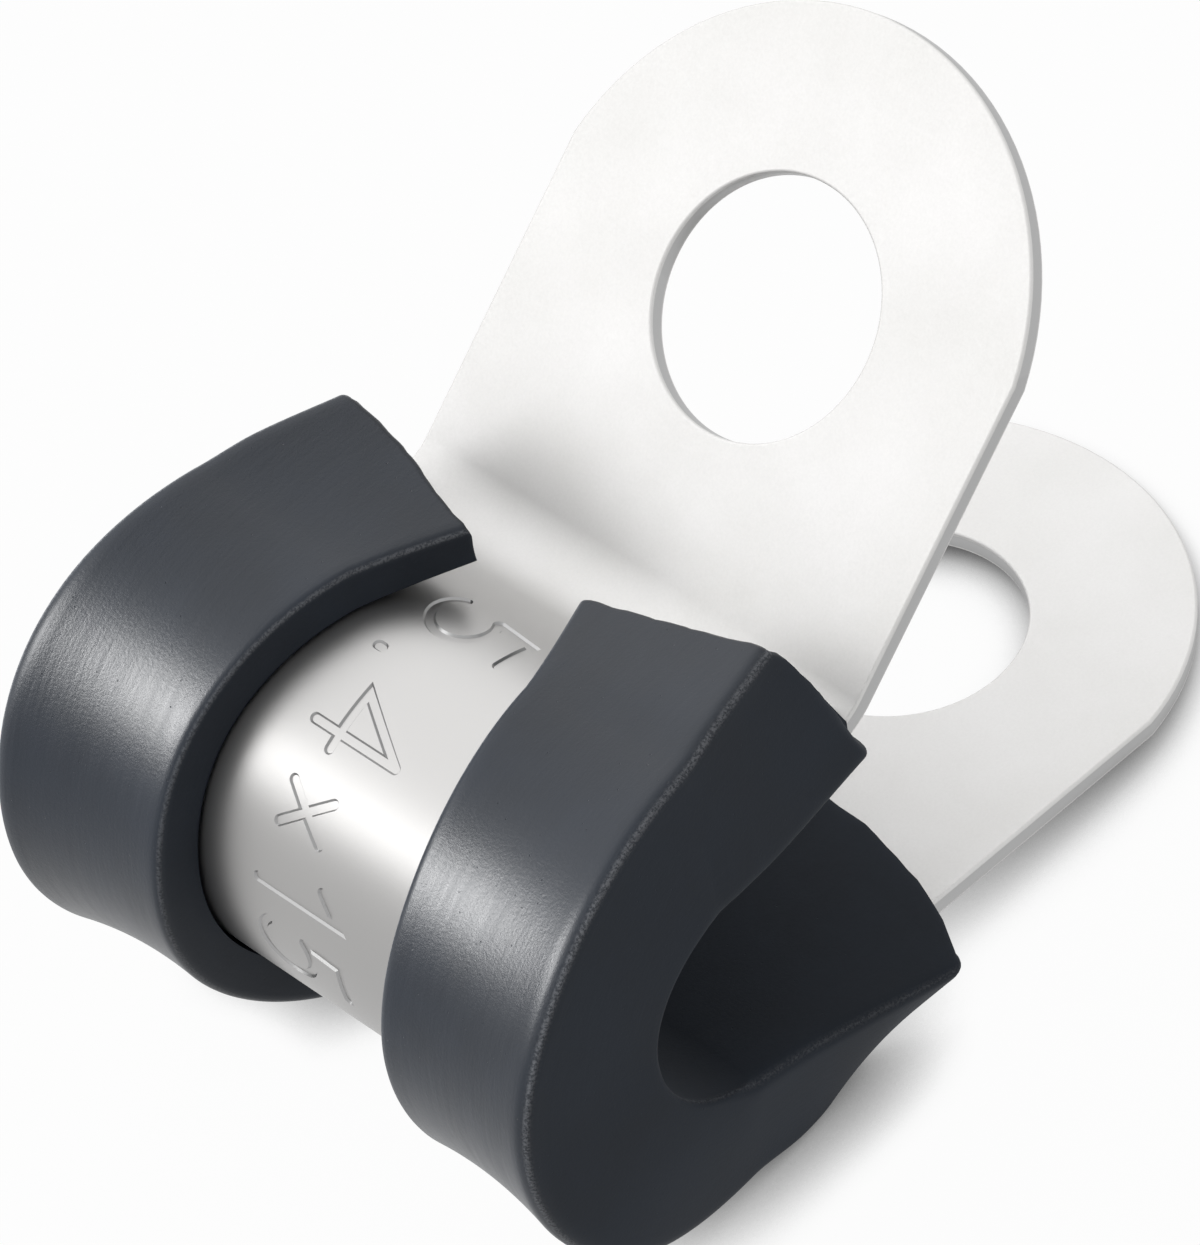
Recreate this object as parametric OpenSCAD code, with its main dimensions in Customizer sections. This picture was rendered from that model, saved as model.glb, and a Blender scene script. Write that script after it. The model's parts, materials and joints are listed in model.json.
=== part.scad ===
// Cushioned P clip: a bent steel strip with two drilled tabs, and a rubber channel wrapped
// round the edges of its loop. The cable runs through the cushion along Y.
//
// The pieces are drawn about the cable's axis, with X towards the tabs and Z up. The whole
// clip is then laid down as it comes to rest, on its cushion and the tip of its lower tab,
// with the origin under the middle of it.

/* [Cable seat] */
// Radius of the round seat that holds the cable
seat_r = 2.7; // [2.5:0.1:3]
// Thickness of rubber between the cable and the strip
pad_t = 2.15; // [1.9:0.05:2.5]

/* [Strip] */
// Thickness of the steel strip
strip_t = 0.53; // [0.4:0.01:0.7]
// Width of the steel strip
strip_w = 14.56; // [13:0.1:14.7]
// Radius of the reverse bends between the loop and the tabs, on the outer face
neck_r = 1.8; // [1.4:0.1:2.2]

/* [Tabs] */
// Diameter of the screw hole in each tab
hole_d = 6.5; // [4:0.1:8]
// Radius of each tab's end about its hole
tab_r = 7.4; // [7.4:0.1:9]
// Distance along each tab from the cable's axis to the hole
hole_reach = 14; // [13:0.1:18]
// Height of the cable's axis above the inner face of the lower tab
lower_drop = 4.25; // [4.1:0.05:4.6]
// Distance from the cable's axis down to the outer face of the upper tab's line
upper_drop = 1.39; // [1.1:0.01:1.6]
// Angle by which the upper tab stands open from the lower one
open_angle = 42.6; // [38:0.1:46]

/* [Cushion] */
// Clearance between the strip and its groove in the rubber
groove_gap = 0.05; // [0.03:0.01:0.1]
// Thickness of each lip at its free edge
lip_t = 1.2; // [0.9:0.01:1.3]
// Width of each lip across the strip
lip_w = 5.3; // [4.5:0.1:5.8]
// Half width of the cushion round the front of the loop
front_half_w = 9; // [8.9:0.05:9.5]
// Rounding of the cushion's outer corners
corner_r = 0.45; // [0.2:0.05:0.6]
// Least thickness of rubber beside the groove, above the strip
wall_t = 0.9; // [0.7:0.1:1.2]

/* [Hidden] */

ARC_FN = 120;
// Steps of the strip round its loop and round each reverse bend
BAND_STEPS = 72;
NECK_STEPS = 12;
STEEL = [0.86, 0.86, 0.85];
RUBBER = [0.16, 0.18, 0.21];

band_in_r = seat_r + pad_t;
band_out_r = band_in_r + strip_t;
groove_half_w = strip_w / 2 + groove_gap;
lip_under_r = band_out_r + 2 * groove_gap;

// A leg runs from the loop through its reverse bend to its tab. It is described about the
// cable's axis by the tilt of its tab, by its face, the distance outwards to the tab's
// outer face, and by the side on which it lies.
LOWER = [0, lower_drop + strip_t, -1];
UPPER = [open_angle, -upper_drop, 1];
tab_end = hole_reach + 1.1 * tab_r;

// Centre of a leg's reverse bend, along the tab's line and outwards from it
function neck_d(leg) = leg[1] + neck_r;
function neck_s(leg) = sqrt(pow(band_out_r + neck_r, 2) - pow(neck_d(leg), 2));
function neck_turn(leg) = atan2(neck_d(leg), neck_s(leg));
// Angle round the loop at which the leg leaves it
function leave_turn(leg) = leg[0] + neck_turn(leg);

// ---- Band -----------------------------------------------------------------------------
// The strip is drawn in side view, as [x, z], and then drawn out to its width.

function arc(centre, r, from, to, n) =
    [for (i = [0 : n]) let (a = from + (to - from) * i / n) centre + r * [cos(a), sin(a)]];
function backwards(list) = [for (i = [len(list) - 1 : -1 : 0]) list[i]];

// A point at a distance along a leg's tab and outwards from the cable's axis
function on_leg(leg, s, d) =
    [s * cos(leg[0]) - d * sin(leg[0]), leg[2] * (s * sin(leg[0]) + d * cos(leg[0]))];

// One face of a leg from the loop to the tab's end, at a depth under its outer face
function leg_face(leg, depth) =
    let (
        bend = arc([neck_s(leg), neck_d(leg)], neck_r + depth, 180 + neck_turn(leg), 270,
                   NECK_STEPS)
    )
    [for (p = concat(bend, [[tab_end, leg[1] - depth]])) on_leg(leg, p[0], p[1])];

// The same face of the whole strip, from the upper tab's end to the lower one's
function strip_face(depth) =
    let (
        from = leave_turn(UPPER),
        to = 360 - leave_turn(LOWER),
        step = (to - from) / BAND_STEPS,
        loop = arc([0, 0], band_out_r - depth, from + step, to - step, BAND_STEPS - 2)
    )
    concat(backwards(leg_face(UPPER, depth)), loop, leg_face(LOWER, depth));

// Everything beside a tab's outline: its hole, and the corners outside its round end
module beside_tab(leg) {
    height = 3 * strip_t;
    mirror([0, 0, leg[2] < 0 ? 1 : 0])
        rotate([0, -leg[0], 0])
            translate([hole_reach, 0, leg[1] - 2 * strip_t]) {
                cylinder(d = hole_d, h = height, $fn = ARC_FN);
                difference() {
                    translate([0, -strip_w, 0])
                        cube([2 * tab_r, 2 * strip_w, height]);
                    cylinder(r = tab_r, h = height, $fn = ARC_FN);
                }
            }
}

module strip() {
    difference() {
        rotate([90, 0, 0])
            linear_extrude(height = strip_w, center = true)
                polygon(concat(strip_face(0), backwards(strip_face(strip_t))));
        beside_tab(LOWER);
        beside_tab(UPPER);
    }
}

// ---- Cushion --------------------------------------------------------------------------
// The channel is swept along stations u: from -END, its lower end, straight to -1, round
// the front of the loop to 1, and straight to END, its upper end. Bending draws its lips in
// and splays its pad towards the ends. Each table gives a size at some of the stations.
END = 1.5;

// Half width at the lips' outer corners
LIP_HALF_W = [[-END, 7.1], [-1.3, 7.9], [-1, 8.25], [-0.5, 8.95], [0, front_half_w],
              [0.5, 8.95], [1, 8.2], [END, 7.1]];
// Half width at the pad's corners
PAD_HALF_W = [[-END, 10.1], [-1, 9.2], [0, front_half_w], [1, 8.75], [END, 7.85]];
// Distance of the lips' outer corners from the cable's axis
LIP_R = [[-END, 7.2], [-1.2, 7.2], [-1, 6.95], [-0.6, 7], [0, 7.05], [0.6, 7.05],
         [1, 7], [1.2, 7.2], [END, 7.2]];
// How much thinner than lip_t the lips' free edges are
LIP_THIN = [[-END, 0.18], [-1, 0.05], [-0.6, 0], [0.6, 0], [1, 0.05], [END, 0.18]];
// How far the lips' faces are dished between their free edges and their outer corners
LIP_DISH = [[-END, 0.05], [-0.7, 0.2], [0, 0.15], [0.7, 0.1], [END, 0.05]];
// How far the pad's face lies inside the seat's radius. Round the front the seat cuts it.
PAD_IN = [[-END, 0], [-1, 0], [-0.7, 0.3], [0.7, 0.3], [1, 0.15], [1.2, 0.25], [END, 0.25]];
// How far the pad's face falls away towards its corners
PAD_FALL = [[-END, 0.6], [-1, 0], [0, 0], [1, 0], [END, 0]];

// Reach of the two ends along X: at the pad's corners, at the lips' outer corners, how much
// further the middle of the pad reaches, and how much less the lips' free edges do
LOWER_END = [6.4, 4.4, 1.4, 1.6];
UPPER_END = [6.05, 4.1, 0.4, 1.6];

function slope(t, i) =
    let (a = t[max(i - 1, 0)], b = t[min(i + 1, len(t) - 1)])
    (b[1] - a[1]) / (b[0] - a[0]);
// Smooth curve through the rows of a table
function curve(u, t, i = 0) =
    i < len(t) - 2 && u > t[i + 1][0] ? curve(u, t, i + 1) :
    let (w = t[i + 1][0] - t[i][0], f = (u - t[i][0]) / w)
    t[i][1] * (1 + 2 * f) * pow(1 - f, 2) + t[i + 1][1] * (3 - 2 * f) * pow(f, 2)
    + w * f * (1 - f) * ((1 - f) * slope(t, i) - f * slope(t, i + 1));

// Height of the strip beside the cable's axis, at a depth under its outer face
function strip_rise(x, leg, depth) =
    let (
        r = band_out_r - depth,
        q = neck_r + depth,
        nx = (band_out_r + neck_r) * cos(leave_turn(leg)),
        nz = (band_out_r + neck_r) * sin(leave_turn(leg)),
        straight_x = nx + q * sin(leg[0])
    )
    x < r * cos(leave_turn(leg)) ? sqrt(pow(r, 2) - pow(x, 2)) :
    x < straight_x ? nz - sqrt(pow(q, 2) - pow(x - nx, 2)) :
    nz - q * cos(leg[0]) + (x - straight_x) * tan(leg[0]);

// Three or more points that round the corner b between a and c
function rounded(a, b, c, r, n) =
    let (p = b + r * (a - b) / norm(a - b), q = b + r * (c - b) / norm(c - b))
    [for (i = [0 : n - 1]) let (f = i / (n - 1))
        p * pow(1 - f, 2) + 2 * b * f * (1 - f) + q * pow(f, 2)];

ROUND_N = 4;
// Share of corner_r at the lips' free edges and at the pad's corners
EDGE_SHARE = 0.6;
// Where along a lip's face its section has points
LIP_POINTS = [0.25, 0.5, 0.75];

function half_w_at(u, r) =
    let (f = (r - pad_face_r(u)) / (curve(u, LIP_R) - pad_face_r(u)))
    curve(u, PAD_HALF_W) + f * (curve(u, LIP_HALF_W) - curve(u, PAD_HALF_W));
function pad_face_r(u) = seat_r - curve(u, PAD_IN);
function lip_gap(u) = curve(u, LIP_HALF_W) - lip_w;
function lip_edge_r(u) = lip_under_r + lip_t - curve(u, LIP_THIN);

// Outer half of the section, as [y, r], from a lip's free edge to the middle of the pad
function outer_half(u) =
    let (
        under = [lip_gap(u), lip_under_r],
        edge = [lip_gap(u), lip_edge_r(u)],
        shoulder = [curve(u, LIP_HALF_W), curve(u, LIP_R)],
        rim = [curve(u, PAD_HALF_W), pad_face_r(u) + curve(u, PAD_FALL)],
        middle = [0, pad_face_r(u)]
    )
    concat(
        rounded(under, edge, shoulder, EDGE_SHARE * corner_r, ROUND_N),
        [for (f = LIP_POINTS)
            edge + f * (shoulder - edge) - [0, 4 * f * (1 - f) * curve(u, LIP_DISH)]],
        rounded(edge, shoulder, rim, corner_r, ROUND_N),
        [(shoulder + rim) / 2],
        rounded(shoulder, rim, middle, EDGE_SHARE * corner_r, ROUND_N),
        [[rim[0] * 0.7, middle[1] + (rim[1] - middle[1]) * 0.49],
         [rim[0] * 0.35, middle[1] + (rim[1] - middle[1]) * 0.12]],
        [middle]
    );

// The groove's half of the section, matched point by point to the outer half. Where the
// groove meets the strip, r only says which face: 0 inside the loop and 1 outside.
function groove_half(u) =
    let (
        edge = [lip_gap(u), lip_under_r],
        roof_y = min(groove_half_w, half_w_at(u, lip_under_r) - wall_t),
        roof = [roof_y, lip_under_r]
    )
    concat(
        [for (i = [0 : ROUND_N - 1]) edge + [i * 0.1, 0]],
        [for (f = LIP_POINTS) edge + f * (roof - edge)],
        [for (i = [0 : ROUND_N - 1]) roof - [(ROUND_N - 1 - i) * 0.05, 0]],
        [[groove_half_w, 1]],
        [for (i = [0 : ROUND_N - 1]) [groove_half_w - i * 0.01, 0]],
        [[groove_half_w * 0.7, 0], [groove_half_w * 0.35, 0]],
        [[0, 0]]
    );

// How far along X a point of the section lies at the cushion's end
function end_reach(u, y, r) =
    let (
        e = u < 0 ? LOWER_END : UPPER_END,
        f = (r - pad_face_r(u)) / (curve(u, LIP_R) - pad_face_r(u)),
        side = e[0] + f * (e[1] - e[0]),
        share = min(1, abs(y) / half_w_at(u, r))
    )
    r < lip_under_r - groove_gap ? side + e[2] * (1 - pow(share, 4)) :
    e[1] + (side - e[1]) * pow(share, 4) - e[3] * (1 - share);

// Share of a straight arm that lies before a station
function arm_share(u) = (abs(u) - 1) / (END - 1);

// Place of a section point in space, about the cable's axis
function placed(u, y, r) =
    abs(u) <= 1 ? [-r * cos(90 * u), y, r * sin(90 * u)] :
    [arm_share(u) * end_reach(u, y, r), y, sign(u) * r];

// Place of a groove point that lies along the strip, clear of it by groove_gap
function beside_strip(u, y, face) =
    let (
        depth = face == 1 ? -groove_gap : strip_t + groove_gap,
        x = arm_share(u) * end_reach(u, y, pad_face_r(u) + 1),
        rise = strip_rise(x, u < 0 ? LOWER : UPPER, depth)
    )
    abs(u) <= 1 ? placed(u, y, band_out_r - depth) : [x, y, sign(u) * rise];

function groove_placed(u, y, r) = r <= 1 ? beside_strip(u, y, r) : placed(u, y, r);

function mirrored(half) = [for (i = [len(half) - 2 : -1 : 0]) [-half[i][0], half[i][1]]];

ARM_STEPS = 8;
LOOP_STEPS = 32;
STATIONS = concat(
    [for (i = [0 : ARM_STEPS - 1]) -END + (END - 1) * i / ARM_STEPS],
    [for (i = [0 : LOOP_STEPS]) -1 + 2 * i / LOOP_STEPS],
    [for (i = [1 : ARM_STEPS]) 1 + (END - 1) * i / ARM_STEPS]
);

OUTER_RINGS = [for (u = STATIONS) let (h = outer_half(u))
    [for (p = concat(h, mirrored(h))) placed(u, p[0], p[1])]];
GROOVE_RINGS = [for (u = STATIONS) let (h = groove_half(u))
    [for (p = concat(h, mirrored(h))) groove_placed(u, p[0], p[1])]];

// One closed skin: the outer rings, and the groove's rings taken backwards
module channel() {
    m = len(OUTER_RINGS[0]);
    n = 2 * m;
    last = len(STATIONS) - 1;
    rings = [for (i = [0 : last])
        concat(OUTER_RINGS[i], [for (j = [m - 1 : -1 : 0]) GROOVE_RINGS[i][j]])];
    skin = [for (i = [0 : last - 1], j = [0 : n - 1])
        let (a = i * n + j, b = i * n + (j + 1) % n)
        each [[a, b, b + n], [a, b + n, a + n]]];
    caps = [for (k = [0, last], j = [0 : m - 2])
        let (a = k * n + j, b = a + 1, d = k * n + n - 1 - j, c = d - 1)
        each (k == 0 ? [[a, c, b], [a, d, c]] : [[a, b, c], [a, c, d]])];
    polyhedron(points = [for (r = rings) each r], faces = concat(skin, caps), convexity = 10);
}

module seat() {
    rotate([90, 0, 0])
        cylinder(r = seat_r, h = 4 * front_half_w, center = true, $fn = ARC_FN);
}

// ---- Rest -----------------------------------------------------------------------------
// The clip rests on the tip of its lower tab and the lowest part of its cushion.

TIP = [hole_reach + tab_r, -LOWER[1]];
SKIN = [for (ring = OUTER_RINGS) each ring];
rest_tilt = -min([for (p = SKIN) atan2(p[2] - TIP[1], TIP[0] - p[0])]);
low_z = -TIP[0] * sin(rest_tilt) + TIP[1] * cos(rest_tilt);
min_x = min([for (p = SKIN) p[0] * cos(rest_tilt) + p[2] * sin(rest_tilt)]);
max_x = TIP[0] * cos(rest_tilt) - lower_drop * sin(rest_tilt);

module laid_down() {
    translate([-(min_x + max_x) / 2, 0, -low_z])
        rotate([0, rest_tilt, 0])
            children();
}

// ---- Nodes ----------------------------------------------------------------------------

module band() {
    color(STEEL)
        laid_down()
            strip();
}

module cushion() {
    color(RUBBER)
        laid_down()
            difference() {
                channel();
                seat();
            }
}

band();
cushion();
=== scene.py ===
"""A cushioned P clip: a bent steel strip with two drilled tabs in a moulded rubber channel.

The strip is cut flat as a blank, engraved and then bent along its side view. The channel is
swept round the strip's loop from the same sizes as the CAD part, in finer steps and with
rounded corners. Sizes are millimetres in the part's own directions, about the cable's axis,
and placed() carries them to metres in the frame.
"""

import json
import math

import bmesh
import bpy
import numpy as np
from mathutils import Matrix, Vector, noise


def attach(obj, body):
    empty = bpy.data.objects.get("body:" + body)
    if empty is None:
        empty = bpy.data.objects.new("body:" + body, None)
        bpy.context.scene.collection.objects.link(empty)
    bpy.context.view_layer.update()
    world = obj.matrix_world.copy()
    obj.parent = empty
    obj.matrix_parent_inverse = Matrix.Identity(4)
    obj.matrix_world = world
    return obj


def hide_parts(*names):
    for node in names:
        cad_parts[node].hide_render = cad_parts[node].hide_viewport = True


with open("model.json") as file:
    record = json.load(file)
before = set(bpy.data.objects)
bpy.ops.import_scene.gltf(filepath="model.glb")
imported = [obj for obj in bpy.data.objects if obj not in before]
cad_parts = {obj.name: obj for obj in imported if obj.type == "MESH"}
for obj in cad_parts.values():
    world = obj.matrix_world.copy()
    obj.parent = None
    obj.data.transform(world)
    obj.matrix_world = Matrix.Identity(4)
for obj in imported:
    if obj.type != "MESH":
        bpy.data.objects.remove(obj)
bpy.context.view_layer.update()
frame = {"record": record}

MM = 0.001
MOUNTS = {m["name"]: m for m in frame["record"]["mounts"]}

# ---- Sizes ----------------------------------------------------------------------------
# The driving sizes of the part

SEAT_R = MOUNTS["cable_seat"]["dims"]["r_mm"]
HOLE_R = MOUNTS["lower_hole"]["dims"]["r_mm"]
PAD_T = 2.15
STRIP_T = 0.53
STRIP_W = 14.56
NECK_R = 1.8
TAB_R = 7.4
HOLE_REACH = 14
LOWER_DROP = 4.25
UPPER_DROP = 1.39
OPEN_ANGLE = math.radians(42.6)
GROOVE_GAP = 0.05
LIP_T = 1.2
LIP_W = 5.3
FRONT_HALF_W = 9
CORNER_R = 0.45
WALL_T = 0.9

BAND_IN_R = SEAT_R + PAD_T
BAND_OUT_R = BAND_IN_R + STRIP_T
GROOVE_HALF_W = STRIP_W / 2 + GROOVE_GAP
LIP_UNDER_R = BAND_OUT_R + 2 * GROOVE_GAP

# A leg's tab is tilted, and its outer face lies at a distance outwards from the cable's
# axis, on one side of it.
LOWER = {"tilt": 0, "face": LOWER_DROP + STRIP_T, "side": -1}
UPPER = {"tilt": OPEN_ANGLE, "face": -UPPER_DROP, "side": 1}


def neck_d(leg):
    return leg["face"] + NECK_R


def neck_s(leg):
    return math.sqrt((BAND_OUT_R + NECK_R) ** 2 - neck_d(leg) ** 2)


def neck_turn(leg):
    return math.atan2(neck_d(leg), neck_s(leg))


def leave_turn(leg):
    return leg["tilt"] + neck_turn(leg)


# ---- Place ----------------------------------------------------------------------------
# The clip lies tilted, as its lower hole's axis shows, with the cable's axis at its seat.

hole_axis = MOUNTS["lower_hole"]["axis"]
REST_TILT = math.atan2(-hole_axis[0], -hole_axis[2])
AXIS = Vector(MOUNTS["cable_seat"]["pos_m"])
TURN = Matrix.Rotation(REST_TILT, 4, "Y")


def placed(point):
    return AXIS + TURN @ (Vector(point) * MM)


# ---- Meshes ---------------------------------------------------------------------------


def add_object(name, mesh):
    piece = bpy.data.objects.new(name, mesh)
    bpy.context.scene.collection.objects.link(piece)
    return piece


# Faces that meet at more than this angle meet in a sharp edge
SHARP_ANGLE = math.radians(40)


def finished_mesh(name, mesh):
    data = bpy.data.meshes.new(name)
    mesh.to_mesh(data)
    mesh.free()
    return data


def shade_smooth(data):
    data.shade_smooth()
    data.set_sharp_from_angle(angle=SHARP_ANGLE)


def apply_modifiers(piece):
    graph = bpy.context.evaluated_depsgraph_get()
    mesh = bpy.data.meshes.new_from_object(piece.evaluated_get(graph))
    piece.modifiers.clear()
    piece.data = mesh


# ---- Cushion --------------------------------------------------------------------------
# The channel runs through stations u: from -END, its lower end, straight to -1, round the
# front of the loop to 1, and straight to END, its upper end.

END = 1.5
LIP_HALF_W = [
    (-END, 7.1),
    (-1.3, 7.9),
    (-1, 8.25),
    (-0.5, 8.95),
    (0, FRONT_HALF_W),
    (0.5, 8.95),
    (1, 8.2),
    (END, 7.1),
]
PAD_HALF_W = [(-END, 10.1), (-1, 9.2), (0, FRONT_HALF_W), (1, 8.75), (END, 7.85)]
LIP_R = [
    (-END, 7.2),
    (-1.2, 7.2),
    (-1, 6.95),
    (-0.6, 7),
    (0, 7.05),
    (0.6, 7.05),
    (1, 7),
    (1.2, 7.2),
    (END, 7.2),
]
LIP_THIN = [(-END, 0.18), (-1, 0.05), (-0.6, 0), (0.6, 0), (1, 0.05), (END, 0.18)]
LIP_DISH = [(-END, 0.05), (-0.7, 0.2), (0, 0.15), (0.7, 0.1), (END, 0.05)]
PAD_IN = [(-END, 0), (-1, 0), (-0.7, 0.3), (0.7, 0.3), (1, 0.15), (1.2, 0.25), (END, 0.25)]
PAD_FALL = [(-END, 0.6), (-1, 0), (0, 0), (1, 0), (END, 0)]
# How far each end reaches along X: at its sides on the pad and on the lips' faces, how much
# more in the pad's middle, and how much less at the lips' free edges
LOWER_END = {"pad": 6.4, "lip": 4.4, "middle_more": 1.4, "edge_less": 1.6}
UPPER_END = {"pad": 6.05, "lip": 4.1, "middle_more": 0.4, "edge_less": 1.6}

# The far flange is moulded a little fuller than the near one: how much wider, how much
# further out, how much shorter its ends are, and how much shorter still its pad is at the
# upper end
FAR_WIDER = [(-END, 0), (-1, 0.05), (-0.4, 0.22), (0, 0.2), (0.6, 0.2), (1, 0.15), (END, 0.05)]
FAR_FULLER = [(-END, 0), (-0.9, 0), (-0.35, 0.14), (0.2, 0.05), (0.6, 0), (END, 0)]
FAR_SHORTER = 0.15
FAR_PAD_SHORTER = 0.9

# Rounding of the lips' free edges, of the pad's rim, of the seat's mouth and of the ends
EDGE_R = 0.27
RIM_R = 0.5
MOUTH_R = 0.16
END_R = 0.3
# Share of END_R on the lips' faces and the pad's, away from the sides
END_FACE_SHARE = 0.3
ARM_STEPS = 30
END_STEPS = 6
LOOP_STEPS = 150
CAP_ROWS = 6


def slope(table, i):
    a, b = table[max(i - 1, 0)], table[min(i + 1, len(table) - 1)]
    return (b[1] - a[1]) / (b[0] - a[0])


def curve(u, table):
    """Smooth curve through the rows of a table."""
    i = 0
    while i < len(table) - 2 and u > table[i + 1][0]:
        i += 1
    w = table[i + 1][0] - table[i][0]
    f = (u - table[i][0]) / w
    ends = table[i][1] * (1 + 2 * f) * (1 - f) ** 2 + table[i + 1][1] * (3 - 2 * f) * f**2
    return ends + w * f * (1 - f) * ((1 - f) * slope(table, i) - f * slope(table, i + 1))


def strip_rise(x, leg, depth):
    """Height of the strip beside the cable's axis, at a depth under its outer face."""
    r = BAND_OUT_R - depth
    q = NECK_R + depth
    turn = leave_turn(leg)
    nx = (BAND_OUT_R + NECK_R) * math.cos(turn)
    nz = (BAND_OUT_R + NECK_R) * math.sin(turn)
    straight_x = nx + q * math.sin(leg["tilt"])
    if x < r * math.cos(turn):
        return math.sqrt(r**2 - x**2)
    if x < straight_x:
        return nz - math.sqrt(q**2 - (x - nx) ** 2)
    return nz - q * math.cos(leg["tilt"]) + (x - straight_x) * math.tan(leg["tilt"])


def rounded(a, b, c, r, n):
    """Points that round the corner b between a and c."""
    a, b, c = (np.array(p, float) for p in (a, b, c))
    p = b + r * (a - b) / np.linalg.norm(a - b)
    q = b + r * (c - b) / np.linalg.norm(c - b)
    return [p * (1 - f) ** 2 + 2 * b * f * (1 - f) + q * f**2 for f in np.linspace(0, 1, n)]


def between(a, b, n):
    """n points strictly between a and b."""
    a, b = np.array(a, float), np.array(b, float)
    return [a + (b - a) * i / (n + 1) for i in range(1, n + 1)]


def pad_face_r(u):
    return SEAT_R - curve(u, PAD_IN)


def lip_gap(u):
    return curve(u, LIP_HALF_W) - LIP_W


def lip_edge_r(u):
    return LIP_UNDER_R + LIP_T - curve(u, LIP_THIN)


def height_share(u, r):
    """0 at the pad's face and 1 at the shoulder."""
    return (r - pad_face_r(u)) / (curve(u, LIP_R) - pad_face_r(u))


def half_w_at(u, r):
    f = height_share(u, r)
    return curve(u, PAD_HALF_W) + f * (curve(u, LIP_HALF_W) - curve(u, PAD_HALF_W))


# Points along each stretch of half the section: the free edge, its rounding, the lip's
# face, the shoulder, the side, the rim and the pad's face
STRETCHES = {"edge": 4, "edge_round": 8, "lip": 22, "shoulder": 10, "side": 16, "rim": 9, "pad": 22}


def outer_half(u):
    """Half of the outer section, as (y, r), from a lip's free edge to the pad's middle."""
    n = STRETCHES
    under = np.array([lip_gap(u), LIP_UNDER_R])
    edge = np.array([lip_gap(u), lip_edge_r(u)])
    shoulder = np.array([curve(u, LIP_HALF_W), curve(u, LIP_R)])
    rim = np.array([curve(u, PAD_HALF_W), pad_face_r(u) + curve(u, PAD_FALL)])
    middle = np.array([0, pad_face_r(u)])
    edge_round = rounded(under, edge, shoulder, EDGE_R, n["edge_round"])
    shoulder_round = rounded(edge, shoulder, rim, CORNER_R, n["shoulder"])
    rim_round = rounded(shoulder, rim, middle, RIM_R, n["rim"])
    lip = between(edge_round[-1], shoulder_round[0], n["lip"])
    for i, p in enumerate(lip):
        f = (i + 1) / (n["lip"] + 1)
        p[1] -= 4 * f * (1 - f) * curve(u, LIP_DISH)
    y, r = rim_round[-1]
    pad = []
    for i in range(1, n["pad"] + 1):
        f = 1 - i / n["pad"]
        pad.append(np.array([y * f, middle[1] + (r - middle[1]) * f**2]))
    edge_side = [under + (edge_round[0] - under) * i / n["edge"] for i in range(n["edge"])]
    side = between(shoulder_round[-1], rim_round[0], n["side"])
    return edge_side + edge_round + lip + shoulder_round + side + rim_round + pad


def groove_half(u):
    """The groove's half of the section, matched point by point to the outer half. A point
    is (y, r, None), or (y, None, depth) where it lies along the strip at a depth."""
    n = STRETCHES
    roof_y = min(GROOVE_HALF_W, half_w_at(u, LIP_UNDER_R) - WALL_T)
    near = n["edge"] + n["edge_round"]
    roof = near + n["lip"] + n["shoulder"] // 2
    start = lip_gap(u)
    under = [(start + (roof_y - start) * (i / (roof - 1)), LIP_UNDER_R, None) for i in range(roof)]
    step = n["shoulder"] - n["shoulder"] // 2
    haunch = [
        (roof_y + (GROOVE_HALF_W - roof_y) * i / step, None, -GROOVE_GAP)
        for i in range(1, step + 1)
    ]
    floor = STRIP_T + GROOVE_GAP
    side = [
        (GROOVE_HALF_W, None, -GROOVE_GAP + (floor + GROOVE_GAP) * i / (n["side"] + 1))
        for i in range(1, n["side"] + 1)
    ]
    flat = n["rim"] + n["pad"]
    inner = [(GROOVE_HALF_W * (1 - i / (flat - 1)), None, floor) for i in range(flat)]
    return under + haunch + side + inner


def end_reach(u, y, r):
    """How far along X a point of the section lies at the cushion's end."""
    end = LOWER_END if u < 0 else UPPER_END
    f = height_share(u, r)
    side = end["pad"] + f * (end["lip"] - end["pad"])
    share = min(1, abs(y) / half_w_at(u, r))
    if y > 0:
        side -= FAR_SHORTER * share**4
        if u > 0:
            side -= FAR_PAD_SHORTER * max(0, 1 - f) * share**4
    if r < LIP_UNDER_R - GROOVE_GAP:
        return side + end["middle_more"] * (1 - share**4)
    return end["lip"] + (side - end["lip"]) * share**4 - end["edge_less"] * (1 - share)


# Unevenness of the cut ends: height and grain of each layer, and where in the noise it lies
CUT_LAYERS = [(0.10, 1.6), (0.05, 0.45), (0.02, 0.15)]
CUT_SEED = 3.7


def cut_unevenness(u, y, r):
    return sum(
        height * noise.noise(Vector((y / grain, r / grain, math.copysign(CUT_SEED, u) + grain)))
        for height, grain in CUT_LAYERS
    )


def arm_share(u):
    """Share of a straight arm that lies before a station."""
    return (abs(u) - 1) / (END - 1)


def section_point(u, y, r):
    """A section point about the cable's axis, before the seat is cut."""
    if abs(u) <= 1:
        turn = math.pi / 2 * u
        return Vector((-r * math.cos(turn), y, r * math.sin(turn)))
    share = arm_share(u)
    x = share * end_reach(u, y, r) + share**6 * cut_unevenness(u, y, r)
    return Vector((x, y, math.copysign(r, u)))


def seated(point, side_y):
    """The point pushed out of the round seat, whose mouths are slightly rounded."""
    inset = min(max(side_y - abs(point.y), 0), MOUTH_R)
    r = SEAT_R + MOUTH_R - math.sqrt(MOUTH_R**2 - (MOUTH_R - inset) ** 2)
    across = math.hypot(point.x, point.z)
    if across >= r:
        return point
    grow = r / max(across, 1e-6)
    return Vector((point.x * grow, point.y, point.z * grow))


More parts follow.
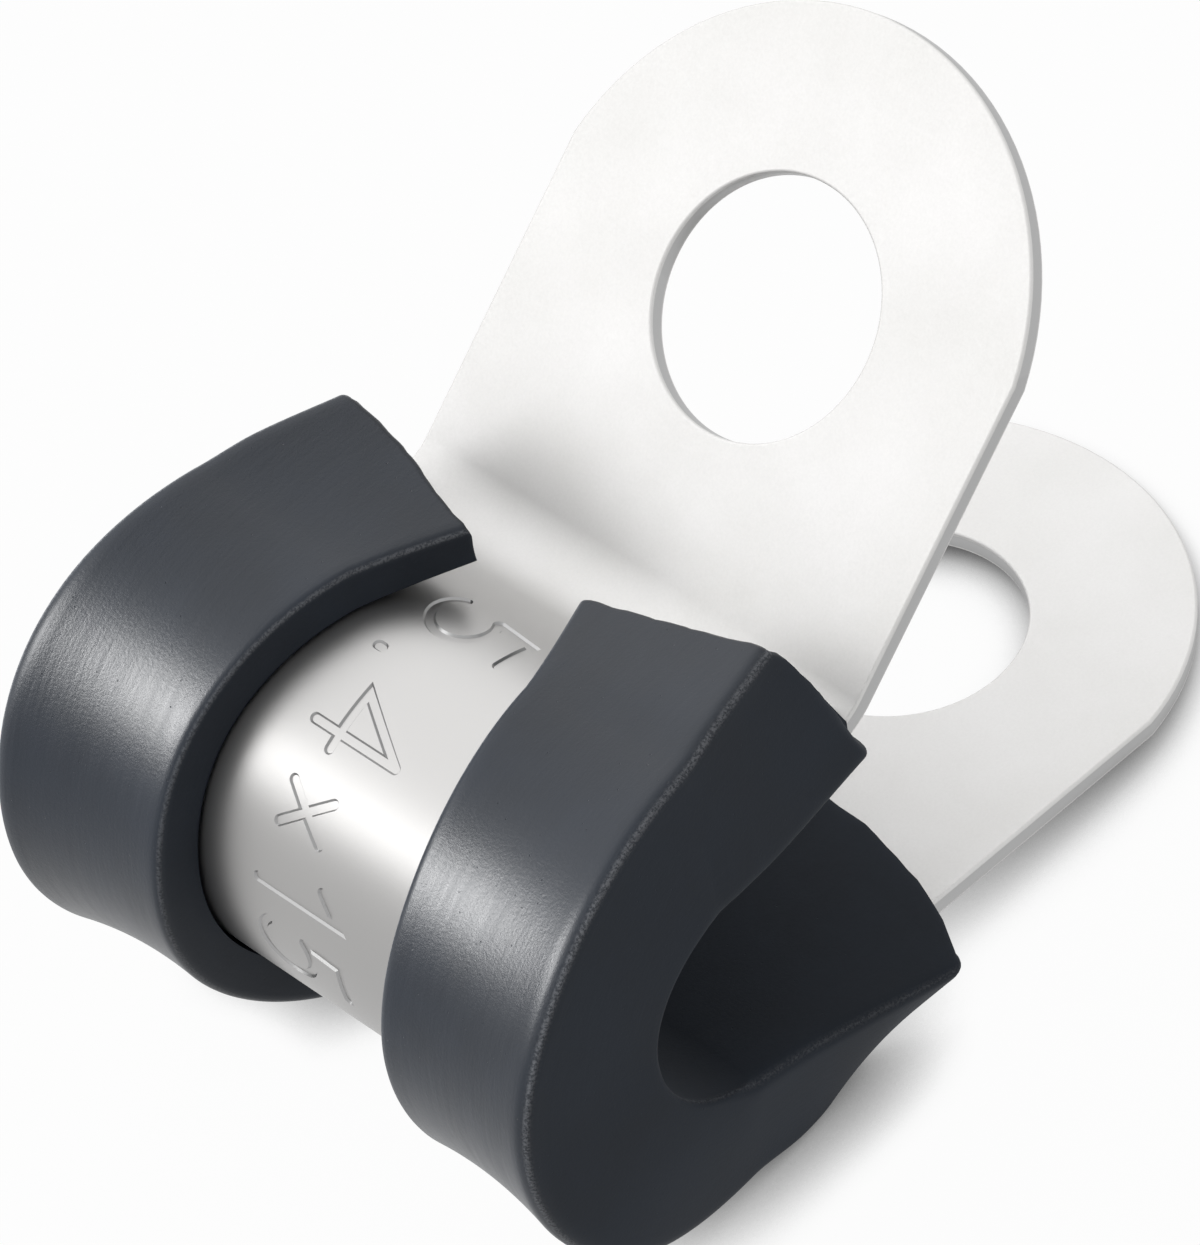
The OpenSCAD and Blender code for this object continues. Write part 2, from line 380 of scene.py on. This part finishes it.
def fuller(u, y, r):
    """A section point of the far flange, moved out from the near flange's form."""
    share = max(0, height_share(u, r)) * (y / half_w_at(u, r)) ** 2
    return y + share * curve(u, FAR_WIDER), r + share * curve(u, FAR_FULLER)


def outer_point(u, y, r, side):
    """A point of the outer skin, on the far side of the clip (1) or the near one (-1)."""
    side_y = half_w_at(u, r)
    if side > 0:
        y, r = fuller(u, y, r)
    return seated(section_point(u, side * y, r), side_y)


def groove_point(u, y, r, depth):
    if depth is None:
        return section_point(u, y, r)
    if abs(u) <= 1:
        return section_point(u, y, BAND_OUT_R - depth)
    x = arm_share(u) * end_reach(u, y, pad_face_r(u) + 1)
    return Vector((x, y, math.copysign(strip_rise(x, LOWER if u < 0 else UPPER, depth), u)))


def stations():
    """Stations from end to end, each with how far the skin there is drawn in."""
    last = END_R / LOWER_END["pad"]
    arm = [((1 - last) * i / ARM_STEPS, 0) for i in range(1, ARM_STEPS + 1)]
    for i in range(1, END_STEPS + 1):
        a = math.pi / 2 * i / END_STEPS
        arm.append((1 - last * (1 - math.sin(a)), END_R * (1 - math.cos(a))))
    arm = [(1 + (END - 1) * share, inset) for share, inset in arm]
    loop = [(-1 + 2 * i / LOOP_STEPS, 0) for i in range(LOOP_STEPS + 1)]
    return [(-u, inset) for u, inset in reversed(arm)] + loop + arm


def drawn_in(point, mate, inset, edge_share):
    """The point moved into the rubber, towards its mate on the groove."""
    inset *= END_FACE_SHARE + (1 - END_FACE_SHARE) * edge_share**6
    away = (mate - point).length
    return point.lerp(mate, min(0.5, inset / away)) if away > 1e-6 else point


# Where an edge of the moulding is rubbed and carries a painted highlight line, from 0 to 1,
# at the middle of each rounding, and how narrow that line is
WEAR_AND_HIGHLIGHT = {"edge_round": 0.6, "shoulder": 1.0, "rim": 0.35}
WEAR_AND_HIGHLIGHT_NARROW = 20
# How smooth each stretch is at its start and its end: the mould is polished for the lips'
# faces, and dull elsewhere
POLISH = {"edge": (0.2, 0.3), "edge_round": (0.3, 1), "lip": (1, 1), "shoulder": (1, 0)}


def finish_half():
    """Wear with its painted highlight, and polish, of each point of half the outer section."""
    finish = []
    for name, n in STRETCHES.items():
        start, stop = POLISH.get(name, (0, 0))
        for i in range(n):
            f = (i + 0.5) / n
            wear = WEAR_AND_HIGHLIGHT.get(name, 0) * math.sin(math.pi * f) ** WEAR_AND_HIGHLIGHT_NARROW
            finish.append((wear, start + (stop - start) * f))
    return finish


def flow_place(u, point, y, r):
    """Place along the channel, across it and out from the axis, for its texture."""
    straight = max(0, abs(u) - 1) and point.x
    turned = math.pi / 2 * min(abs(u), 1) * BAND_OUT_R
    return Vector((math.copysign(turned + straight, u), y, r))


def half_rings(u, inset, side):
    """Half a section's outer skin, as (point, flow, finish), and its groove."""
    outer, groove = [], []
    for (y, r), mate, finish in zip(outer_half(u), groove_half(u), finish_half()):
        inner = groove_point(u, side * mate[0], *mate[1:])
        point = outer_point(u, y, r, side)
        point = drawn_in(point, inner, inset, abs(y) / half_w_at(u, r))
        outer.append((point, flow_place(u, point, side * y, r), finish))
        groove.append((inner, flow_place(u, inner, side * mate[0], BAND_IN_R), (0, 0)))
    return outer, groove


def cushion_mesh():
    """The whole channel, with its flow, its wear and painted highlight, and its polish kept on each
    vertex.
    """
    mesh = bmesh.new()
    flow = mesh.verts.layers.float_vector.new("flow")
    wear = mesh.verts.layers.float.new("wear")
    polish = mesh.verts.layers.float.new("polish")

    def add_vertex(place, along, finish):
        vertex = mesh.verts.new(place)
        vertex[flow] = along
        vertex[wear], vertex[polish] = finish
        return vertex

    def add_cap(ring):
        half = len(ring) // 2
        outer, groove = ring[:half], ring[:half - 1:-1]
        rows = [outer]
        for i in range(1, CAP_ROWS):
            f = i / CAP_ROWS
            rows.append([
                add_vertex(a.co.lerp(b.co, f), a[flow].lerp(b[flow], f), (0, 0))
                for a, b in zip(outer, groove)
            ])
        rows.append(groove)
        for a, b in zip(rows, rows[1:]):
            for j in range(half - 1):
                mesh.faces.new((a[j], a[j + 1], b[j + 1], b[j]))

    rings = []
    for u, inset in stations():
        far_outer, far_groove = half_rings(u, inset, 1)
        near_outer, near_groove = half_rings(u, inset, -1)
        outer = far_outer + near_outer[-2::-1]
        groove = far_groove + near_groove[-2::-1]
        rings.append([add_vertex(placed(p), *rest) for p, *rest in outer + groove[::-1]])
    count = len(rings[0])
    for a, b in zip(rings, rings[1:]):
        for j in range(count):
            k = (j + 1) % count
            mesh.faces.new((a[j], a[k], b[k], b[j]))
    add_cap(rings[0])
    add_cap(rings[-1])
    bmesh.ops.recalc_face_normals(mesh, faces=mesh.faces)
    data = finished_mesh("rubber_channel", mesh)
    shade_smooth(data)
    return data


# ---- Band -----------------------------------------------------------------------------
# The blank lies flat in (s, y), with s along the strip's outer face from the upper tab's
# end to the lower one's, and its outer face up. bent() wraps it round the loop.

EDGE_ROUND = 0.07
BEND_STEP = math.radians(2)
END_POINTS = 49
HOLE_POINTS = 128

LOOP_TURN = 2 * math.pi - leave_turn(UPPER) - leave_turn(LOWER)
UPPER_TURN = math.pi / 2 - neck_turn(UPPER)
LOWER_TURN = math.pi / 2 - neck_turn(LOWER)

# Where along the blank each stretch starts
UPPER_NECK = HOLE_REACH + TAB_R - neck_s(UPPER)
LOOP_START = UPPER_NECK + UPPER_TURN * NECK_R
LOWER_NECK = LOOP_START + LOOP_TURN * BAND_OUT_R
LOWER_TAB = LOWER_NECK + LOWER_TURN * NECK_R
BLANK_END = LOWER_TAB + HOLE_REACH + TAB_R - neck_s(LOWER)


def on_leg(leg, s, d):
    tilt = leg["tilt"]
    x = s * math.cos(tilt) - d * math.sin(tilt)
    z = s * math.sin(tilt) + d * math.cos(tilt)
    return x, leg["side"] * z


def leg_point(leg, into, depth):
    """A point of a leg, a length into it from the loop, at a depth under its outer face."""
    turn = math.pi / 2 - neck_turn(leg)
    if into < turn * NECK_R:
        a = math.pi + neck_turn(leg) + into / NECK_R
        r = NECK_R + depth
        return on_leg(leg, neck_s(leg) + r * math.cos(a), neck_d(leg) + r * math.sin(a))
    return on_leg(leg, neck_s(leg) + into - turn * NECK_R, leg["face"] - depth)


def bent(s, y, depth):
    """Where a point of the blank goes when the strip is bent."""
    if s < LOOP_START:
        x, z = leg_point(UPPER, LOOP_START - s, depth)
    elif s > LOWER_NECK:
        x, z = leg_point(LOWER, s - LOWER_NECK, depth)
    else:
        a = leave_turn(UPPER) + (s - LOOP_START) / BAND_OUT_R
        x, z = (BAND_OUT_R - depth) * math.cos(a), (BAND_OUT_R - depth) * math.sin(a)
    return Vector((x, y, z))


def blank_outline():
    """Outline of the blank, with its two round ends."""
    corner = math.asin(STRIP_W / 2 / TAB_R)
    ends = []
    for hole_s, way in ((TAB_R, -1), (BLANK_END - TAB_R, 1)):
        for a in np.linspace(-corner, corner, END_POINTS):
            ends.append((hole_s + way * TAB_R * math.cos(a), way * TAB_R * math.sin(a)))
    return ends


def circle(s, y, r, n):
    turns = np.linspace(0, 2 * math.pi, n, endpoint=False)
    return [(s + r * math.cos(a), y + r * math.sin(a)) for a in turns]


def sheet_object(name, loops, thickness, edge):
    """A flat sheet with rounded edges, bounded by closed loops of points."""
    flat = bpy.data.curves.new(name, "CURVE")
    flat.dimensions = "2D"
    flat.fill_mode = "BOTH"
    flat.extrude = thickness / 2 - edge
    flat.bevel_depth = edge
    flat.bevel_resolution = 2
    flat.offset = -edge
    for loop in loops:
        spline = flat.splines.new("POLY")
        spline.points.add(len(loop) - 1)
        for point, (s, y) in zip(spline.points, loop):
            point.co = (s, y, 0, 1)
        spline.use_cyclic_u = True
    outline = add_object(name, flat)
    mesh = bpy.data.meshes.new_from_object(outline)
    bpy.data.objects.remove(outline)
    return add_object(name, mesh)


# ---- Engraving ------------------------------------------------------------------------
# A plain size: the seat's diameter and the strip's width. Each glyph is drawn with single
# strokes in a cell one unit high, as its width and lists of (across, up).

GLYPH_H = 2.7
GLYPH_GAP = 1.05
STROKE_W = 0.34
STROKE_DEEP = 0.06
# How much narrower a stroke is at its floor, on each side
STROKE_SLOPE = 0.07
# How far the cutting solid stands out of the strip
STROKE_CLEAR = 0.03
# Where the first glyph starts along the blank, and the middle of the line across it
MARK_START = LOOP_START + 1.9
MARK_Y = 0.4


def arc_points(cx, cy, rx, ry, start, stop, n):
    return [
        (cx + rx * math.cos(math.radians(a)), cy + ry * math.sin(math.radians(a)))
        for a in np.linspace(start, stop, n)
    ]


FIVE_BOWL = arc_points(0.26, 0.31, 0.3, 0.31, 128, -140, 26)
GLYPHS = {
    "5": (0.58, [[(0.52, 1), (0.1, 1), (0.06, 0.56)], FIVE_BOWL]),
    "4": (0.6, [[(0.44, 0), (0.44, 1)], [(0.44, 1), (0, 0.3), (0.6, 0.3)]]),
    ".": (0.06, [[(0.03, 0), (0.03, 0.05)]]),
    "x": (0.4, [[(0, 0.12), (0.4, 0.62)], [(0, 0.62), (0.4, 0.12)]]),
    "1": (0.24, [[(0, 0.78), (0.24, 1), (0.24, 0)]]),
}


def marking():
    """The strokes of the whole mark, as lines of points on the blank."""
    text = f"{2 * SEAT_R:.1f}x{STRIP_W:.0f}"
    strokes = []
    s = MARK_START
    for letter in text:
        width, lines = GLYPHS[letter]
        for line in lines:
            strokes.append([(s + x * GLYPH_H, MARK_Y + GLYPH_H * (0.5 - up)) for x, up in line])
        s += width * GLYPH_H + GLYPH_GAP
    return strokes


def stroke_solid(line):
    """A shallow trough that follows a line, narrower at its floor, with round ends."""
    mesh = bmesh.new()
    points = [Vector((s, y)) for s, y in line]
    rings = []
    for half, level in (
        (STROKE_W / 2, STRIP_T / 2 + STROKE_CLEAR),
        (STROKE_W / 2 - STROKE_SLOPE, STRIP_T / 2 - STROKE_DEEP),
    ):
        outline = stroke_outline(points, half)
        rings.append([mesh.verts.new((x, y, level)) for x, y in outline])
    count = len(rings[0])
    for j in range(count):
        k = (j + 1) % count
        mesh.faces.new((rings[0][j], rings[0][k], rings[1][k], rings[1][j]))
    mesh.faces.new(rings[0])
    mesh.faces.new(rings[1][::-1])
    bmesh.ops.recalc_face_normals(mesh, faces=mesh.faces)
    return add_object("stroke", finished_mesh("stroke", mesh))


def stroke_outline(points, half):
    """Outline of a line drawn with a round pen."""
    left, right = [], []
    for i, p in enumerate(points):
        before = (p - points[i - 1]).normalized() if i else None
        after = (points[i + 1] - p).normalized() if i < len(points) - 1 else None
        along = ((before or after) + (after or before)).normalized()
        across = Vector((-along.y, along.x))
        next_way = after or before
        reach = half / max(across.dot(Vector((-next_way.y, next_way.x))), 0.4)
        left.append(p + across * reach)
        right.append(p - across * reach)
    first = (points[0] - points[1]).normalized()
    last = (points[-1] - points[-2]).normalized()
    return left + pen_end(points[-1], last, half) + right[::-1] + pen_end(points[0], first, half)


def pen_end(centre, way, half, n=7):
    """The pen's round end, between the two sides of its line."""
    start = Vector((-way.y, way.x))
    turns = np.linspace(0, math.pi, n + 2)[1:-1]
    return [centre + half * (start * math.cos(a) + way * math.sin(a)) for a in turns]


def cut(piece, tool):
    step = piece.modifiers.new("cut", "BOOLEAN")
    step.operation = "DIFFERENCE"
    step.solver = "EXACT"
    step.object = tool
    apply_modifiers(piece)
    bpy.data.objects.remove(tool)


def bend_lines():
    """Where the blank is cut across so that it can bend."""
    lines = []
    for start, turn, r in (
        (UPPER_NECK, UPPER_TURN, NECK_R),
        (LOOP_START, LOOP_TURN, BAND_OUT_R),
        (LOWER_NECK, LOWER_TURN, NECK_R),
    ):
        n = math.ceil(turn / BEND_STEP)
        lines += [start + turn * r * i / n for i in range(n + 1)]
    return lines


def face_normal(s):
    """The strip's outward normal at a place along it, once bent."""
    out = bent(s, 0, 0) - bent(s, 0, 1)
    return (TURN @ out).normalized()


def band_mesh():
    holes = [circle(s, 0, HOLE_R, HOLE_POINTS) for s in (TAB_R, BLANK_END - TAB_R)]
    blank = sheet_object("band", [blank_outline(), *holes], STRIP_T, EDGE_ROUND)
    for line in marking():
        cut(blank, stroke_solid(line))
    mesh = bmesh.new()
    mesh.from_mesh(blank.data)
    bmesh.ops.remove_doubles(mesh, verts=mesh.verts, dist=1e-5)
    for s in bend_lines():
        bmesh.ops.bisect_plane(
            mesh, geom=[*mesh.verts, *mesh.edges, *mesh.faces], dist=1e-6,
            plane_co=(s, 0, 0), plane_no=(1, 0, 0),
        )
    mesh.faces.index_update()
    ways = [f.normal.z for f in mesh.faces]
    along = mesh.verts.layers.float_vector.new("blank")
    for v in mesh.verts:
        v[along] = v.co.copy()
        v.co = placed(bent(v.co.x, v.co.y, STRIP_T / 2 - v.co.z))
    # bending turns every face inside out
    bmesh.ops.reverse_faces(mesh, faces=mesh.faces)
    data = finished_mesh("band", mesh)
    bpy.data.objects.remove(blank)
    shade_smooth(data)
    set_face_normals(data, ways)
    mark_walls(data, ways)
    return data


# A face of the blank whose normal rises more than this is flat
FLAT = 0.999


def mark_walls(data, ways):
    """Marks the sloping walls of the engraved strokes, which the material paints darker than the
    face as painted shade in the strokes.
    """
    walls = data.attributes.new("wall", "FLOAT", "FACE")
    places = data.attributes["blank"].data
    for face, way in zip(data.polygons, ways):
        place = places[face.vertices[0]].vector
        inside = LOOP_START < place.x < LOWER_NECK and abs(place.y) < GLYPH_H
        walls.data[face.index].value = inside and 0 < way < FLAT


def set_face_normals(data, ways):
    """Gives the strip's two faces the normals of the smooth bend, and leaves the others."""
    places = data.attributes["blank"].data
    normals = [Vector((0, 0, 0))] * len(data.loops)
    for face, way in zip(data.polygons, ways):
        if abs(way) < FLAT:
            continue
        for i in face.loop_indices:
            s = places[data.loops[i].vertex_index].vector.x
            normals[i] = face_normal(s) * math.copysign(1, way)
    data.normals_split_custom_set(normals)


# ---- Materials ------------------------------------------------------------------------


def new_material(name):
    material = bpy.data.materials.new(name)
    material.use_nodes = True
    tree = material.node_tree
    return material, tree, tree.nodes["Principled BSDF"]


def add_node(tree, kind, inputs=(), **settings):
    node = tree.nodes.new(kind)
    for key, value in settings.items():
        setattr(node, key, value)
    for key, value in dict(inputs).items():
        node.inputs[key].default_value = value
    return node


def ramp(tree, source, stops):
    node = tree.nodes.new("ShaderNodeValToRGB")
    elements = node.color_ramp.elements
    while len(elements) < len(stops):
        elements.new(0.5)
    for element, (position, colour) in zip(elements, stops):
        element.position = position
        element.color = (*colour, 1) if hasattr(colour, "__len__") else (colour, colour, colour, 1)
    tree.links.new(source, node.inputs["Fac"])
    return node.outputs["Color"]


def bump(tree, height, distance, strength, before=None):
    node = add_node(tree, "ShaderNodeBump", {"Strength": strength, "Distance": distance})
    tree.links.new(height, node.inputs["Height"])
    if before is not None:
        tree.links.new(before, node.inputs["Normal"])
    return node.outputs["Normal"]


def stretched(tree, vector, scale):
    mapping = add_node(tree, "ShaderNodeMapping", {"Scale": scale})
    tree.links.new(vector, mapping.inputs["Vector"])
    return mapping.outputs["Vector"]


def millimetres(tree):
    """Object coordinates in millimetres."""
    coordinates = add_node(tree, "ShaderNodeTexCoord")
    return stretched(tree, coordinates.outputs["Object"], (1 / MM,) * 3)


def noise_texture(tree, vector, scale, detail=3, rough=0.6):
    node = add_node(
        tree, "ShaderNodeTexNoise", {"Scale": scale, "Detail": detail, "Roughness": rough}
    )
    tree.links.new(vector, node.inputs["Vector"])
    return node.outputs["Fac"]


def attribute(tree, name, output="Vector"):
    return add_node(tree, "ShaderNodeAttribute", attribute_name=name).outputs[output]


def maths(tree, operation, a, b=None):
    node = add_node(tree, "ShaderNodeMath", operation=operation)
    for socket, value in zip(node.inputs, (a, b)):
        if isinstance(value, bpy.types.NodeSocket):
            tree.links.new(value, socket)
        elif value is not None:
            socket.default_value = value
    return node.outputs[0]


def mixed(tree, factor, a, b):
    """Colour a where the factor is 0, and b where it is 1."""
    node = add_node(tree, "ShaderNodeMix", data_type="RGBA")
    tree.links.new(factor, node.inputs["Factor"])
    for socket, value in ((node.inputs["A"], a), (node.inputs["B"], b)):
        if isinstance(value, bpy.types.NodeSocket):
            tree.links.new(value, socket)
        else:
            socket.default_value = (*value, 1)
    return node.outputs["Result"]


def rubber_material():
    """Satin black rubber with a bluish bloom, fine grain, pits, and rubbed edges that carry a
    painted highlight.
    """
    material, tree, shader = new_material("moulded_rubber")
    flow = attribute(tree, "flow")
    where = millimetres(tree)
    mottle = noise_texture(tree, where, 0.35, 4, 0.55)
    grain = noise_texture(tree, where, 11, 4, 0.7)
    streaks = noise_texture(tree, stretched(tree, flow, (0.5, 5, 5)), 1.2, 4, 0.6)
    pits = add_node(tree, "ShaderNodeTexVoronoi", {"Scale": 3.4, "Randomness": 1})
    tree.links.new(where, pits.inputs["Vector"])
    pit = ramp(tree, pits.outputs["Distance"], [(0.04, 0), (0.08, 1)])
    patches = ramp(tree, noise_texture(tree, where, 1.1, 2, 0.5), [(0.45, 1), (0.55, 0)])
    pit = maths(tree, "MAXIMUM", pit, patches)
    speckle = ramp(tree, noise_texture(tree, where, 14, 3, 0.7), [(0.42, 0.2), (0.58, 1)])
    rubbed_and_highlit = maths(tree, "MULTIPLY", attribute(tree, "wear", "Fac"), speckle)
    bloom = ramp(tree, mottle, [(0.35, (0.008, 0.0115, 0.018)), (0.65, (0.011, 0.0155, 0.024))])
    polish = attribute(tree, "polish", "Fac")
    dull = ramp(tree, mottle, [(0.35, (0.007, 0.011, 0.018)), (0.65, (0.011, 0.0165, 0.026))])
    face = mixed(tree, polish, dull, bloom)
    # Light grey on the rounded edges: partly rubbed wear, partly a painted highlight line
    colour = mixed(tree, rubbed_and_highlit, face, (0.21, 0.22, 0.24))
    smooth = ramp(tree, streaks, [(0.3, 0.31), (0.7, 0.36)])
    roughness = mixed(tree, polish, (0.75, 0.75, 0.75), smooth)
    tree.links.new(colour, shader.inputs["Base Color"])
    tree.links.new(roughness, shader.inputs["Roughness"])
    shader.inputs["Specular IOR Level"].default_value = 0.34
    normal = bump(tree, grain, 0.012 * MM, 0.5)
    normal = bump(tree, streaks, 0.012 * MM, 0.4, normal)
    normal = bump(tree, pit, 0.03 * MM, 0.6, normal)
    tree.links.new(normal, shader.inputs["Normal"])
    return material


def steel_material():
    """Stainless strip, brushed along its length, with darker cut edges and a smoother loop, whose
    darker colour is painted shade.
    """
    material, tree, shader = new_material("brushed_steel")
    blank = attribute(tree, "blank")
    brushing = noise_texture(tree, stretched(tree, blank, (0.25, 14, 14)), 1.6, 5, 0.75)
    where = millimetres(tree)
    grain = noise_texture(tree, where, 14, 3, 0.7)
    cloud = noise_texture(tree, where, 0.25, 2, 0.5)
    split = add_node(tree, "ShaderNodeSeparateXYZ")
    tree.links.new(blank, split.inputs[0])
    height = maths(tree, "ABSOLUTE", split.outputs["Z"])
    flat = (STRIP_T / 2 - EDGE_ROUND) / (STRIP_T / 2)
    share = maths(tree, "DIVIDE", height, STRIP_T / 2)
    cut_edge = ramp(tree, share, [(flat - 0.12, 1), (flat, 0)])
    along = maths(tree, "DIVIDE", split.outputs["X"], BLANK_END)
    start, stop = LOOP_START / BLANK_END, LOWER_NECK / BLANK_END
    loop_stops = [(start - 0.02, 0), (start + 0.03, 1), (stop - 0.03, 1), (stop + 0.02, 0)]
    loop = ramp(tree, along, loop_stops)
    tab_face = ramp(tree, cloud, [(0.3, (0.68, 0.675, 0.665)), (0.7, (0.72, 0.715, 0.71))])
    # The loop between the necks is painted darker than the tabs: painted shade
    face = mixed(tree, loop, tab_face, (0.41, 0.405, 0.40))
    colour = mixed(tree, cut_edge, face, (0.44, 0.44, 0.44))
    # The strokes' walls are painted darker: painted shade in the engraving
    colour = mixed(tree, attribute(tree, "wall", "Fac"), colour, (0.36, 0.36, 0.36))
    tab_rough = ramp(tree, grain, [(0.25, 0.62), (0.75, 0.72)])
    face_rough = mixed(tree, loop, tab_rough, (0.38, 0.38, 0.38))
    roughness = mixed(tree, cut_edge, face_rough, (0.38, 0.38, 0.38))
    tree.links.new(colour, shader.inputs["Base Color"])
    tree.links.new(roughness, shader.inputs["Roughness"])
    shader.inputs["Metallic"].default_value = 1
    normal = bump(tree, brushing, 0.004 * MM, 0.35)
    normal = bump(tree, grain, 0.003 * MM, 0.3, normal)
    tree.links.new(normal, shader.inputs["Normal"])
    return material


# ---- Stage ----------------------------------------------------------------------------


def seen_directly(tree):
    """1 for rays from the camera, mirrored or through glass, and 0 for scattered light."""
    path = add_node(tree, "ShaderNodeLightPath")
    seen = maths(tree, "MAXIMUM", path.outputs["Is Camera Ray"], path.outputs["Is Glossy Ray"])
    return maths(tree, "MAXIMUM", seen, path.outputs["Is Transmission Ray"])


# How far from the clip its contact shadow reaches, and its level for each openness
SHADOW_REACH = 2.5 * MM
SHADOW_STOPS = [(0.2, 0.1), (0.5, 0.5), (0.75, 0.95), (0.85, 1)]
# Share of the floor's look that comes from the light on it, and how much it throws back
FLOOR_LIT = 0.03
FLOOR_BOUNCE = 0.25


def floor_material():
    """White to the eye and in reflections, with the clip's shadow, and darker in the light
    that it throws back."""
    material, tree, shader = new_material("paper")
    tree.nodes.remove(shader)
    output = tree.nodes["Material Output"]
    near = add_node(tree, "ShaderNodeAmbientOcclusion", {"Distance": SHADOW_REACH}, samples=16)
    shade = ramp(tree, near.outputs["AO"], SHADOW_STOPS)
    paper = add_node(tree, "ShaderNodeEmission", {"Strength": 1})
    tree.links.new(shade, paper.inputs["Color"])
    lit = add_node(tree, "ShaderNodeBsdfDiffuse", {"Color": (0.93, 0.93, 0.93, 1)})
    seen = add_node(tree, "ShaderNodeMixShader", {"Fac": FLOOR_LIT})
    tree.links.new(paper.outputs[0], seen.inputs[1])
    tree.links.new(lit.outputs[0], seen.inputs[2])
    bounce = add_node(tree, "ShaderNodeBsdfDiffuse", {"Color": (*[FLOOR_BOUNCE] * 3, 1)})
    mix = add_node(tree, "ShaderNodeMixShader")
    tree.links.new(seen_directly(tree), mix.inputs["Fac"])
    tree.links.new(bounce.outputs[0], mix.inputs[1])
    tree.links.new(seen.outputs[0], mix.inputs[2])
    tree.links.new(mix.outputs[0], output.inputs["Surface"])
    return material


def make_floor():
    """One large triangle, so that no edge runs under the clip."""
    mesh = bpy.data.meshes.new("floor")
    mesh.from_pydata([(-8, -4, 0), (8, -4, 0), (0, 8, 0)], [], [(0, 1, 2)])
    floor = add_object("floor", mesh)
    floor.data.materials.append(floor_material())
    return floor


# Strength of the world in the light that it throws on the clip
SKY_LIGHT = 0.2


def make_world():
    world = bpy.data.worlds.new("studio")
    bpy.context.scene.world = world
    world.use_nodes = True
    tree = world.node_tree
    background = tree.nodes["Background"]
    background.inputs["Color"].default_value = (1, 1, 1, 1)
    strength = add_node(tree, "ShaderNodeMapRange", {"To Min": SKY_LIGHT, "To Max": 1.0})
    tree.links.new(seen_directly(tree), strength.inputs["Value"])
    tree.links.new(strength.outputs["Result"], background.inputs["Strength"])


def add_softbox(name, direction, distance, size, radiance):
    """A rectangular area light that faces the clip from a direction."""
    light = bpy.data.lights.new(name, "AREA")
    light.shape = "RECTANGLE"
    light.size, light.size_y = size
    light.energy = radiance * math.pi * size[0] * size[1]
    lamp = bpy.data.objects.new(name, light)
    bpy.context.scene.collection.objects.link(lamp)
    way = Vector(direction).normalized()
    lamp.location = way * distance
    lamp.rotation_euler = way.to_track_quat("Z", "Y").to_euler()
    return lamp


def light_only(lamp, *pieces):
    """Keeps a lamp's light to some pieces, as flags do in a studio."""
    lit = bpy.data.collections.new(lamp.name)
    for piece in pieces:
        lit.objects.link(piece)
    lamp.light_linking.receiver_collection = lit


def make_lights(cushion, band):
    """A wide softbox behind the clip, a key light from the left for its highlights, weaker
    on the steel than on the rubber, and a strip in front for its edges."""
    add_softbox("back", (0.0, 0.56, 0.62), 0.8, (1.7, 0.75), 1.0)
    from_left = (-0.62, 0.56, 0.52)
    light_only(add_softbox("rubber_key", from_left, 0.6, (0.15, 0.2), 48.0), cushion)
    light_only(add_softbox("steel_key", from_left, 0.6, (0.2, 0.2), 3.0), band)
    light_only(add_softbox("strip", (-0.1, -0.8, 0.45), 0.6, (0.5, 0.05), 6.0), cushion)


# The camera looks at the middle of the clip: the turn of its view from +Y towards +X, how
# far it looks down, and its roll, in degrees
VIEW_TURN = 31.2
VIEW_DOWN = 48.93
VIEW_ROLL = 19.24
VIEW_TARGET = Vector((-0.955, 1.168, 8.44)) * MM
VIEW_DISTANCE = 221.1 * MM
VIEW_LENS = 267.1


def make_camera():
    data = bpy.data.cameras.new("camera")
    data.lens = VIEW_LENS
    data.sensor_width = 36
    data.clip_start = 0.01
    camera = bpy.data.objects.new("camera", data)
    bpy.context.scene.collection.objects.link(camera)
    turn = Matrix.Rotation(-math.radians(VIEW_TURN), 4, "Z")
    down = Matrix.Rotation(math.radians(90 - VIEW_DOWN), 4, "X")
    roll = Matrix.Rotation(-math.radians(VIEW_ROLL), 4, "Z")
    aim = turn @ down @ roll
    away = aim.to_3x3() @ Vector((0, 0, VIEW_DISTANCE))
    camera.matrix_world = Matrix.Translation(VIEW_TARGET + away) @ aim
    bpy.context.scene.camera = camera


# ---- Scene ----------------------------------------------------------------------------

bpy.context.scene.view_settings.view_transform = "Standard"
make_camera()
make_world()
make_floor()

cushion = add_object("rubber_channel", cushion_mesh())
cushion.data.materials.append(rubber_material())
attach(cushion, "root")
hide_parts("cushion")

band = add_object("steel_band", band_mesh())
band.data.materials.append(steel_material())
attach(band, "root")
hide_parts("band")

make_lights(cushion, band)
